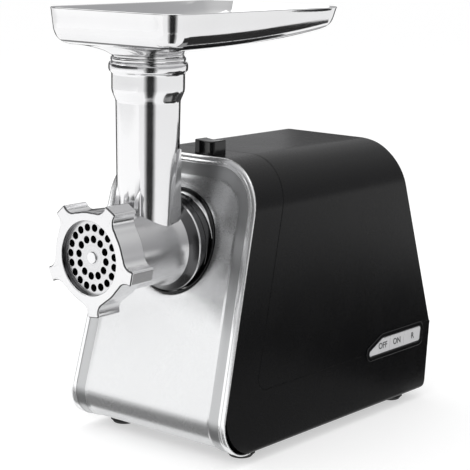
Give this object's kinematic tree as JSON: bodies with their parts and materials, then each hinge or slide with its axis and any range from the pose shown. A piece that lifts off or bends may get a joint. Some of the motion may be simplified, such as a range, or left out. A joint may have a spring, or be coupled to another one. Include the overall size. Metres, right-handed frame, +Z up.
{
  "type": "electric meat grinder",
  "caption": "Countertop electric meat grinder: leaning housing with geared motor and press keys, a locked head with feed throat, auger, screw-on ring and cutting plate, and a lift-off tray.",
  "frame": {"origin": "on the table, under the middle of the whole object's box", "axes": "+Z up, -Y out of the head, where the food comes out, +X to the right of someone who faces the head"},
  "size_m": [0.1686, 0.3502, 0.3503],
  "materials": {
    "black_plastic": "satin moulded",
    "silver_panel": "satin silver",
    "zinc_steel": "zinc plated",
    "rubber": "matte",
    "socket_metal": "polished",
    "button_plastic": "gloss",
    "key_plastic": "satin silver grey",
    "dark_plastic": "moulded",
    "board": "coated laminate",
    "cast_metal": "die cast",
    "sintered_bronze": "sintered",
    "gear_steel": "machined",
    "nylon": "moulded nylon",
    "laminations": "stacked sheet",
    "copper_wire": "enamelled wire",
    "carbon": "matte",
    "polished_aluminium": "polished casting",
    "blade_steel": "ground",
    "tray_metal": "polished sheet"
  },
  "bodies": {
    "body": {"main_housing": "black_plastic", "base_housing": "black_plastic", "front_panel": "silver_panel", "chassis_plate": "zinc_steel", "rubber_feet": "rubber", "foot_screws": "zinc_steel", "cord_gland": "black_plastic", "socket_collar": "black_plastic", "head_socket": "socket_metal", "lock_spring": "zinc_steel", "key_bezel": "button_plastic", "switch_block": "dark_plastic", "circuit_board": "board", "gearbox_case": "cast_metal", "gearbox_cover": "cast_metal", "gearbox_screws": "zinc_steel", "gearbox_stand": "zinc_steel", "gear_bushes": "sintered_bronze", "stator_core": "laminations", "field_coils": "copper_wire", "motor_end_frame": "cast_metal", "motor_bolts": "zinc_steel", "motor_bearings": "sintered_bronze", "brush_holders": "dark_plastic", "carbon_brushes": "carbon", "motor_cradle": "dark_plastic", "grinder_barrel": "polished_aluminium", "barrel_bush": "nylon", "cutting_plate": "blade_steel"},
    "drive": {"output_gear": "gear_steel", "output_shaft": "gear_steel", "auger": "polished_aluminium", "cutting_blade": "blade_steel"},
    "second_countershaft": {"second_gear": "nylon", "second_shaft": "gear_steel"},
    "first_countershaft": {"first_gear": "nylon", "first_shaft": "gear_steel"},
    "rotor": {"motor_pinion": "gear_steel", "motor_shaft": "gear_steel", "rotor_core": "laminations", "rotor_windings": "copper_wire", "commutator": "copper_wire", "cooling_fan": "dark_plastic"},
    "ring": {"ring_nut": "polished_aluminium"},
    "tray": {"hopper_tray": "tray_metal"},
    "lock": {"release_button": "button_plastic", "lock_plate": "zinc_steel"},
    "off_key": {"key_off": "key_plastic"},
    "on_key": {"key_on": "key_plastic"},
    "reverse_key": {"key_reverse": "key_plastic"}
  },
  "joints": [
    {"name": "auger_spin", "type": "hinge", "parent": "body", "child": "drive", "pos_m": [0, 0, 0.1666], "axis": [0, 1, 0], "continuous": true},
    {"name": "second_spin", "type": "hinge", "parent": "body", "child": "second_countershaft", "pos_m": [0.01783, 0, 0.12474], "axis": [0, 1, 0], "continuous": true},
    {"name": "first_spin", "type": "hinge", "parent": "body", "child": "first_countershaft", "pos_m": [-0.01875, 0, 0.11648], "axis": [0, 1, 0], "continuous": true},
    {"name": "rotor_spin", "type": "hinge", "parent": "body", "child": "rotor", "pos_m": [0, 0, 0.084], "axis": [0, 1, 0], "continuous": true},
    {"name": "ring_turn", "type": "hinge", "parent": "body", "child": "ring", "pos_m": [0, 0, 0.1666], "axis": [0, 1, 0], "range_deg": [0, 720]},
    {"name": "tray_lift", "type": "slide", "parent": "body", "child": "tray", "axis": [0, 0, 1], "range_m": [0, 0.06]},
    {"name": "button_press", "type": "slide", "parent": "body", "child": "lock", "axis": [0, 0, -1], "range_m": [0, 0.0045], "stiffness_N_per_m": 600, "springref_m": -0.002},
    {"name": "off_press", "type": "slide", "parent": "body", "child": "off_key", "axis": [-0.9992, 0, -0.0406], "range_m": [0, 0.002], "stiffness_N_per_m": 500, "springref_m": -0.001},
    {"name": "on_press", "type": "slide", "parent": "body", "child": "on_key", "axis": [-0.9992, 0, -0.0406], "range_m": [0, 0.002], "stiffness_N_per_m": 500, "springref_m": -0.001},
    {"name": "reverse_press", "type": "slide", "parent": "body", "child": "reverse_key", "axis": [-0.9992, 0, -0.0406], "range_m": [0, 0.002], "stiffness_N_per_m": 500, "springref_m": -0.001}
  ],
  "couplings": [
    {"joint": "second_spin", "follows": "auger_spin", "ratio": -3.3333},
    {"joint": "first_spin", "follows": "auger_spin", "ratio": 13.333},
    {"joint": "rotor_spin", "follows": "auger_spin", "ratio": -53.333}
  ]
}
